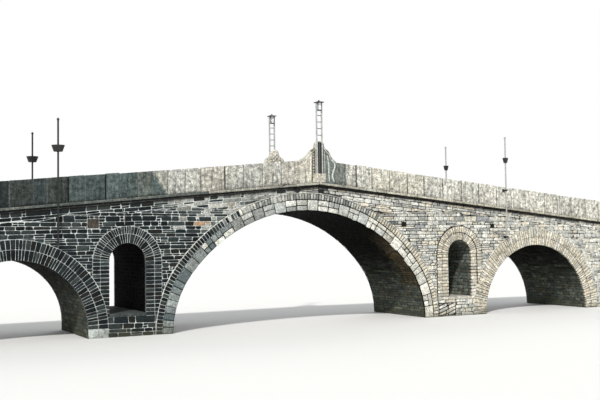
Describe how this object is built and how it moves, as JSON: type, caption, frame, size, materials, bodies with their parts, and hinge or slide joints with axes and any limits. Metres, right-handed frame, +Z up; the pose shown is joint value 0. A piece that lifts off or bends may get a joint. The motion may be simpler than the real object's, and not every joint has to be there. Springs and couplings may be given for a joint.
{
  "type": "stone arch footbridge",
  "caption": "Humpbacked masonry footbridge: a wide central arch, lower side arches, small relief passages through the piers, slab parapets, carved crests and slim lamps.",
  "frame": {"origin": "on the water line, midway between the two ends and between the two faces", "axes": "+X along the bridge, +Y across it away from the pictured face, +Z up"},
  "size_m": [29.2, 4.1856, 7.786],
  "materials": {
    "voussoir_stone": "dressed arch stone, pale joints",
    "ring_stone": "thin radial stones, pale joints",
    "hood_stone": "thin radial slates, pale joints",
    "rubble_stone": "thin coursed slate rubble, pale pointing",
    "core_rubble": "rough packed rubble",
    "sill_stone": "sawn pale slab",
    "string_stone": "thin pale courses",
    "parapet_stone": "split slabs set on edge",
    "crest_stone": "carved slab",
    "paving_stone": "worn setts",
    "dark_iron": "dark matt paint",
    "lantern_glass": "opal glass"
  },
  "bodies": {
    "root": {"main_arch_barrel": "voussoir_stone", "left_arch_barrel": "ring_stone", "right_arch_barrel": "ring_stone", "left_passage_surround": "ring_stone", "right_passage_surround": "ring_stone", "main_arch_hood_front": "hood_stone", "main_arch_hood_rear": "hood_stone", "left_arch_hood_front": "hood_stone", "left_arch_hood_rear": "hood_stone", "right_arch_hood_front": "hood_stone", "right_arch_hood_rear": "hood_stone", "left_passage_hoods": "hood_stone", "right_passage_hoods": "hood_stone", "front_left_spandrel": "rubble_stone", "front_right_spandrel": "rubble_stone", "rear_left_spandrel": "rubble_stone", "rear_right_spandrel": "rubble_stone", "left_abutment": "rubble_stone", "right_abutment": "rubble_stone", "left_pier_foot": "rubble_stone", "right_pier_foot": "rubble_stone", "left_rubble_core": "core_rubble", "right_rubble_core": "core_rubble", "left_passage_sill": "sill_stone", "right_passage_sill": "sill_stone", "front_left_string_course": "string_stone", "front_right_string_course": "string_stone", "rear_left_string_course": "string_stone", "rear_right_string_course": "string_stone", "front_left_parapet": "parapet_stone", "front_right_parapet": "parapet_stone", "rear_left_parapet": "parapet_stone", "rear_right_parapet": "parapet_stone", "front_crest_stone": "crest_stone", "rear_crest_stone": "crest_stone", "lamp_corbels": "crest_stone", "left_road_paving": "paving_stone", "right_road_paving": "paving_stone", "front_lamp_post": "dark_iron", "rear_lamp_post": "dark_iron", "front_lantern": "dark_iron", "rear_lantern": "dark_iron", "side_poles": "dark_iron", "pole_brackets": "dark_iron", "pole_bowls": "dark_iron", "lantern_glasses": "lantern_glass"}
  },
  "joints": []
}
